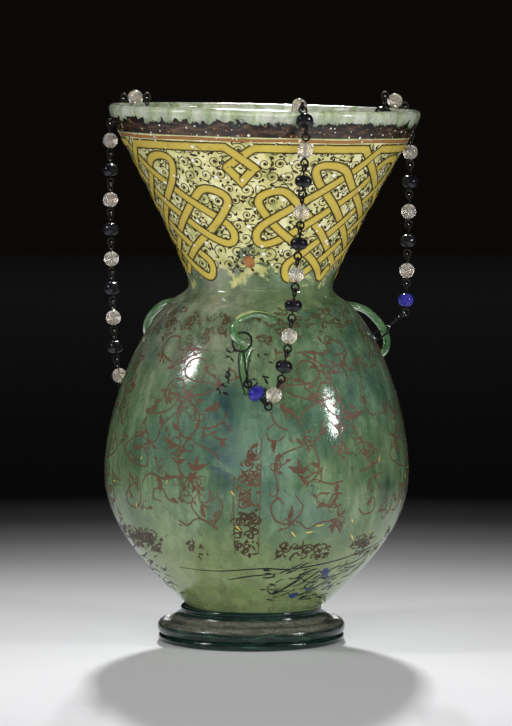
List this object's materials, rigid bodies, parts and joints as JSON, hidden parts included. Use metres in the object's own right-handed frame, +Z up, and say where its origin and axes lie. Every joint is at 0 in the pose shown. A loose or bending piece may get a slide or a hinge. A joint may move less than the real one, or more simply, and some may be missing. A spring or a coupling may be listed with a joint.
{
  "type": "hanging glass lamp",
  "caption": "Footed glass lamp with a flaring neck, shoulder loops and bead chains hung over its rim.",
  "frame": {"origin": "centre of the ring on which the foot stands", "axes": "+Z up along the foot's axis, -Y towards the front, where the picture was taken from"},
  "size_m": [0.1797, 0.185, 0.3088],
  "materials": {
    "vessel_glass": "hazy, worn, with painted enamel",
    "foot_glass": "dark, glossy, with streaks",
    "handle_glass": "glossy, drawn",
    "clear_glass": "clear, slightly wavy",
    "black_glass": "opaque, glossy",
    "blue_glass": "deep blue, glossy",
    "iron_wire": "dark, dull drawn wire"
  },
  "bodies": {
    "lamp": {"vessel": "vessel_glass", "foot": "foot_glass", "front_handle": "handle_glass", "left_handle": "handle_glass", "right_handle": "handle_glass", "front_handle_wire": "iron_wire", "front_rim_bead": "clear_glass", "front_lip_bead": "black_glass", "front_inner_pins": "iron_wire", "front_inner_clear_beads": "clear_glass", "front_inner_black_beads": "black_glass", "left_handle_wire": "iron_wire", "left_rim_bead": "clear_glass", "left_lip_bead": "black_glass", "left_inner_pins": "iron_wire", "left_inner_clear_beads": "clear_glass", "left_inner_black_beads": "black_glass", "right_rim_bead": "clear_glass", "right_lip_bead": "black_glass", "right_inner_pins": "iron_wire", "right_inner_clear_beads": "clear_glass", "right_inner_black_beads": "black_glass"},
    "front_chain": {"front_chain_pins": "iron_wire"},
    "left_chain": {"left_chain_pins": "iron_wire"},
    "right_chain": {"right_chain_pins": "iron_wire", "right_handle_wire": "iron_wire"},
    "ring": {"gather_ring": "iron_wire"},
    "front_bead_01_clear": {"front_bead_01_clear": "clear_glass"},
    "front_bead_02_black": {"front_bead_02_black": "black_glass"},
    "front_bead_03_clear": {"front_bead_03_clear": "clear_glass"},
    "front_bead_04_black": {"front_bead_04_black": "black_glass"},
    "front_bead_05_clear": {"front_bead_05_clear": "clear_glass"},
    "front_bead_06_black": {"front_bead_06_black": "black_glass"},
    "front_bead_07_clear": {"front_bead_07_clear": "clear_glass"},
    "front_bead_08_black": {"front_bead_08_black": "black_glass"},
    "front_bead_09_clear": {"front_bead_09_clear": "clear_glass"},
    "front_bead_10_blue": {"front_bead_10_blue": "blue_glass"},
    "left_bead_01_clear": {"left_bead_01_clear": "clear_glass"},
    "left_bead_02_black": {"left_bead_02_black": "black_glass"},
    "left_bead_03_clear": {"left_bead_03_clear": "clear_glass"},
    "left_bead_04_black": {"left_bead_04_black": "black_glass"},
    "left_bead_05_clear": {"left_bead_05_clear": "clear_glass"},
    "left_bead_06_black": {"left_bead_06_black": "black_glass"},
    "left_bead_07_clear": {"left_bead_07_clear": "clear_glass"},
    "left_bead_08_black": {"left_bead_08_black": "black_glass"},
    "left_bead_09_clear": {"left_bead_09_clear": "clear_glass"},
    "left_bead_10_blue": {"left_bead_10_blue": "blue_glass"},
    "right_bead_01_clear": {"right_bead_01_clear": "clear_glass"},
    "right_bead_02_black": {"right_bead_02_black": "black_glass"},
    "right_bead_03_clear": {"right_bead_03_clear": "clear_glass"},
    "right_bead_04_black": {"right_bead_04_black": "black_glass"},
    "right_bead_05_clear": {"right_bead_05_clear": "clear_glass"},
    "right_bead_06_blue": {"right_bead_06_blue": "blue_glass"}
  },
  "joints": [
    {"name": "chain_swing_front", "type": "hinge", "parent": "lamp", "child": "front_chain", "pos_m": [0.02977, -0.09344, 0.28846], "axis": [-0.2234, 0.0797, -0.9715], "range_deg": [-20, 20]},
    {"name": "chain_swing_left", "type": "hinge", "parent": "lamp", "child": "left_chain", "pos_m": [-0.08006, 0.038, 0.28986], "axis": [0.1296, 0.106, -0.9859], "range_deg": [-15, 20]},
    {"name": "chain_swing_right", "type": "hinge", "parent": "lamp", "child": "right_chain", "pos_m": [0.09073, 0.04072, 0.28309], "axis": [0.1449, 0.0328, 0.9889], "range_deg": [-20, 20]},
    {"name": "ring_turn", "type": "hinge", "parent": "lamp", "child": "ring", "pos_m": [-0.01417, -0.004, 0.04636], "axis": [0.0227, 0, 0.9997], "continuous": true},
    {"name": "spin_front_bead_01_clear", "type": "hinge", "parent": "front_chain", "child": "front_bead_01_clear", "pos_m": [0.02921, -0.0933, 0.27868], "axis": [-0.0577, 0.0139, -0.9982], "continuous": true},
    {"name": "spin_front_bead_02_black", "type": "hinge", "parent": "front_chain", "child": "front_bead_02_black", "pos_m": [0.02819, -0.09305, 0.26186], "axis": [-0.0623, 0.0157, -0.9979], "continuous": true},
    {"name": "spin_front_bead_03_clear", "type": "hinge", "parent": "front_chain", "child": "front_bead_03_clear", "pos_m": [0.02708, -0.09277, 0.24505], "axis": [-0.0682, 0.018, -0.9975], "continuous": true},
    {"name": "spin_front_bead_04_black", "type": "hinge", "parent": "front_chain", "child": "front_bead_04_black", "pos_m": [0.02585, -0.09243, 0.22825], "axis": [-0.0762, 0.0212, -0.9969], "continuous": true},
    {"name": "spin_front_bead_05_clear", "type": "hinge", "parent": "front_chain", "child": "front_bead_05_clear", "pos_m": [0.02446, -0.09203, 0.21146], "axis": [-0.0875, 0.0257, -0.9958], "continuous": true},
    {"name": "spin_front_bead_06_black", "type": "hinge", "parent": "front_chain", "child": "front_bead_06_black", "pos_m": [0.02281, -0.09153, 0.1947], "axis": [-0.1049, 0.0326, -0.9939], "continuous": true},
    {"name": "spin_front_bead_07_clear", "type": "hinge", "parent": "front_chain", "child": "front_bead_07_clear", "pos_m": [0.02075, -0.09086, 0.17799], "axis": [-0.135, 0.0445, -0.9898], "continuous": true},
    {"name": "spin_front_bead_08_black", "type": "hinge", "parent": "front_chain", "child": "front_bead_08_black", "pos_m": [0.01785, -0.08986, 0.16143], "axis": [-0.1992, 0.07, -0.9775], "continuous": true},
    {"name": "spin_front_bead_09_clear", "type": "hinge", "parent": "front_chain", "child": "front_bead_09_clear", "pos_m": [0.01235, -0.08783, 0.14577], "axis": [-0.4182, 0.1575, -0.8946], "continuous": true},
    {"name": "spin_front_bead_10_blue", "type": "hinge", "parent": "front_chain", "child": "front_bead_10_blue", "pos_m": [0.00289, -0.08408, 0.14631], "axis": [-0.6639, 0.269, 0.6977], "continuous": true},
    {"name": "spin_left_bead_01_clear", "type": "hinge", "parent": "left_chain", "child": "left_bead_01_clear", "pos_m": [-0.08007, 0.03815, 0.28006], "axis": [-0.0009, 0.0152, -0.9999], "continuous": true},
    {"name": "spin_left_bead_02_black", "type": "hinge", "parent": "left_chain", "child": "left_bead_02_black", "pos_m": [-0.08005, 0.03843, 0.26322], "axis": [0.0018, 0.0171, -0.9999], "continuous": true},
    {"name": "spin_left_bead_03_clear", "type": "hinge", "parent": "left_chain", "child": "left_bead_03_clear", "pos_m": [-0.07999, 0.03874, 0.24637], "axis": [0.0053, 0.0195, -0.9998], "continuous": true},
    {"name": "spin_left_bead_04_black", "type": "hinge", "parent": "left_chain", "child": "left_bead_04_black", "pos_m": [-0.07985, 0.0391, 0.22952], "axis": [0.01, 0.0228, -0.9997], "continuous": true},
    {"name": "spin_left_bead_05_clear", "type": "hinge", "parent": "left_chain", "child": "left_bead_05_clear", "pos_m": [-0.07962, 0.03953, 0.21268], "axis": [0.0165, 0.0274, -0.9995], "continuous": true},
    {"name": "spin_left_bead_06_black", "type": "hinge", "parent": "left_chain", "child": "left_bead_06_black", "pos_m": [-0.07925, 0.04005, 0.19584], "axis": [0.0264, 0.0342, -0.9991], "continuous": true},
    {"name": "spin_left_bead_07_clear", "type": "hinge", "parent": "left_chain", "child": "left_bead_07_clear", "pos_m": [-0.07864, 0.04074, 0.17902], "axis": [0.0428, 0.0456, -0.998], "continuous": true},
    {"name": "spin_left_bead_08_black", "type": "hinge", "parent": "left_chain", "child": "left_bead_08_black", "pos_m": [-0.0776, 0.04174, 0.16223], "axis": [0.0756, 0.0685, -0.9948], "continuous": true},
    {"name": "spin_left_bead_09_clear", "type": "hinge", "parent": "left_chain", "child": "left_bead_09_clear", "pos_m": [-0.07538, 0.04355, 0.14566], "axis": [0.1723, 0.1356, -0.9757], "continuous": true},
    {"name": "spin_left_bead_10_blue", "type": "hinge", "parent": "left_chain", "child": "left_bead_10_blue", "pos_m": [-0.06614, 0.05008, 0.13957], "axis": [0.8182, 0.5693, 0.0802], "continuous": true},
    {"name": "spin_right_bead_01_clear", "type": "hinge", "parent": "right_chain", "child": "right_bead_01_clear", "pos_m": [0.09048, 0.04071, 0.2733], "axis": [-0.0254, -0.0007, -0.9997], "continuous": true},
    {"name": "spin_right_bead_02_black", "type": "hinge", "parent": "right_chain", "child": "right_bead_02_black", "pos_m": [0.09004, 0.0407, 0.25645], "axis": [-0.0259, -0.0009, -0.9997], "continuous": true},
    {"name": "spin_right_bead_03_clear", "type": "hinge", "parent": "right_chain", "child": "right_bead_03_clear", "pos_m": [0.0896, 0.04068, 0.23961], "axis": [-0.0267, -0.0011, -0.9996], "continuous": true},
    {"name": "spin_right_bead_04_black", "type": "hinge", "parent": "right_chain", "child": "right_bead_04_black", "pos_m": [0.08913, 0.04066, 0.22276], "axis": [-0.0281, -0.0014, -0.9996], "continuous": true},
    {"name": "spin_right_bead_05_clear", "type": "hinge", "parent": "right_chain", "child": "right_bead_05_clear", "pos_m": [0.08863, 0.04063, 0.20592], "axis": [-0.0308, -0.0022, -0.9995], "continuous": true},
    {"name": "spin_right_bead_06_blue", "type": "hinge", "parent": "right_chain", "child": "right_bead_06_blue", "pos_m": [0.08804, 0.04057, 0.18908], "axis": [-0.0387, -0.0043, -0.9992], "continuous": true}
  ]
}
